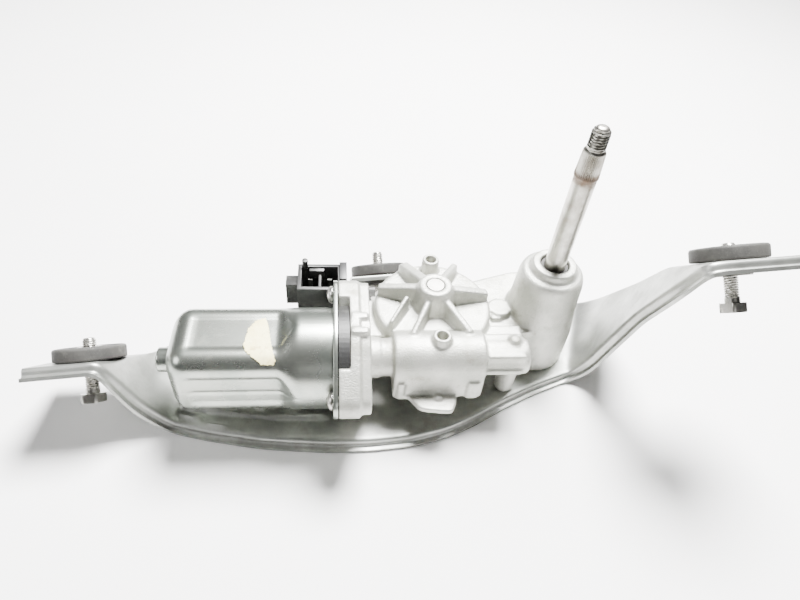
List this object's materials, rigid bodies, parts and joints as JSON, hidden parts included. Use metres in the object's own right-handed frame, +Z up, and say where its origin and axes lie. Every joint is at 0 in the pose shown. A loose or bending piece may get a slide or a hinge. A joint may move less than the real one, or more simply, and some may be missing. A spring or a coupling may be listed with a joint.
{
  "type": "rear windscreen wiper motor",
  "caption": "Wiper motor assembly: pressed bracket on rubber mounts, drawn motor case, round ribbed gearbox and a long upright output shaft with a knurl and a threaded end.",
  "frame": {"origin": "under the middle of the outer box, on the plane the bracket's edge rests on", "axes": "+Z up along the output shaft; +X along the motor from its closed end to the gearbox; +Y away from the motor, across the bracket"},
  "size_m": [0.3168, 0.121, 0.1376],
  "materials": {
    "galvanised_steel": "galvanised, satin",
    "rubber": "matt",
    "bright_steel": "bright, zinc plated",
    "paper": "torn paper",
    "ferrite": "sintered ferrite",
    "copper": "plain",
    "bronze": "sintered",
    "carbon": "pressed carbon",
    "black_plastic": "moulded",
    "cast_aluminium": "die cast, fine grain",
    "white_plastic": "moulded"
  },
  "bodies": {
    "housing": {"mounting_bracket": "galvanised_steel", "grommet_left": "rubber", "sleeve_left": "bright_steel", "grommet_right": "rubber", "sleeve_right": "bright_steel", "grommet_rear": "rubber", "sleeve_rear": "bright_steel", "motor_yoke": "galvanised_steel", "yoke_screw_upper": "bright_steel", "yoke_screw_lower": "bright_steel", "paper_label": "paper", "magnet_front": "ferrite", "magnet_rear": "ferrite", "rear_bush": "bronze", "front_bearing": "bright_steel", "tail_bush": "bronze", "brush_front": "carbon", "brush_rear": "carbon", "brush_spring_front": "bright_steel", "brush_spring_rear": "bright_steel", "brush_holder": "black_plastic", "connector_shell": "black_plastic", "terminal_blade_1": "copper", "terminal_blade_2": "copper", "terminal_blade_3": "copper", "terminal_blade_4": "copper", "gear_housing": "cast_aluminium", "gear_cover": "galvanised_steel", "cover_screw_1": "bright_steel", "cover_screw_2": "bright_steel", "cover_screw_3": "bright_steel", "bracket_screw_1": "bright_steel", "bracket_screw_2": "bright_steel", "bracket_screw_3": "bright_steel", "wheel_shaft": "bright_steel", "wheel_clip": "bright_steel", "shaft_bush_lower": "bronze", "shaft_bush_upper": "bronze", "shaft_seal": "rubber"},
    "armature": {"armature_shaft": "bright_steel", "armature_core": "bright_steel", "armature_windings": "copper", "commutator": "copper"},
    "wheel": {"worm_wheel": "white_plastic"},
    "output": {"output_shaft": "bright_steel"},
    "link": {"link_plate": "bright_steel", "sector_pivot_pin": "bright_steel"},
    "lever": {"sector_lever": "bright_steel", "crank_pin": "bright_steel"},
    "bolt_left": {"mount_bolt_left": "bright_steel"},
    "bolt_right": {"mount_bolt_right": "bright_steel"},
    "bolt_rear": {"mount_bolt_rear": "bright_steel"}
  },
  "joints": [
    {"name": "armature_spin", "type": "hinge", "parent": "housing", "child": "armature", "pos_m": [0.01908, -0.02653, 0.0356], "axis": [1, 0, 0], "continuous": true},
    {"name": "wheel_spin", "type": "hinge", "parent": "housing", "child": "wheel", "pos_m": [0.01908, 0.00047, 0.0356], "axis": [0, 0, 1], "continuous": true},
    {"name": "output_swing", "type": "hinge", "parent": "housing", "child": "output", "pos_m": [0.07608, 0.00547, 0.0356], "axis": [0, 0, 1], "range_deg": [0, 124]},
    {"name": "link_swing", "type": "hinge", "parent": "housing", "child": "link", "pos_m": [0.07608, 0.00547, 0.0356], "axis": [0, 0, 1], "range_deg": [0, 44]},
    {"name": "lever_swing", "type": "hinge", "parent": "link", "child": "lever", "pos_m": [0.08156, 0.0234, 0.0356], "axis": [0, 0, 1], "range_deg": [-40.1, 0]},
    {"name": "bolt_left_slide", "type": "slide", "parent": "housing", "child": "bolt_left", "axis": [-0.0796, 0.719, 0.6905], "range_m": [-0.008, 0.0083]},
    {"name": "bolt_right_slide", "type": "slide", "parent": "housing", "child": "bolt_right", "axis": [-0.0796, 0.719, 0.6905], "range_m": [-0.008, 0.0108]},
    {"name": "bolt_rear_slide", "type": "slide", "parent": "housing", "child": "bolt_rear", "axis": [-0.0796, 0.719, 0.6905], "range_m": [-0.003, 0.005]}
  ],
  "couplings": [
    {"joint": "wheel_spin", "follows": "armature_spin", "ratio": -0.022727},
    {"joint": "link_swing", "follows": "output_swing", "ratio": 0.3546},
    {"joint": "lever_swing", "follows": "output_swing", "ratio": -0.3227}
  ]
}
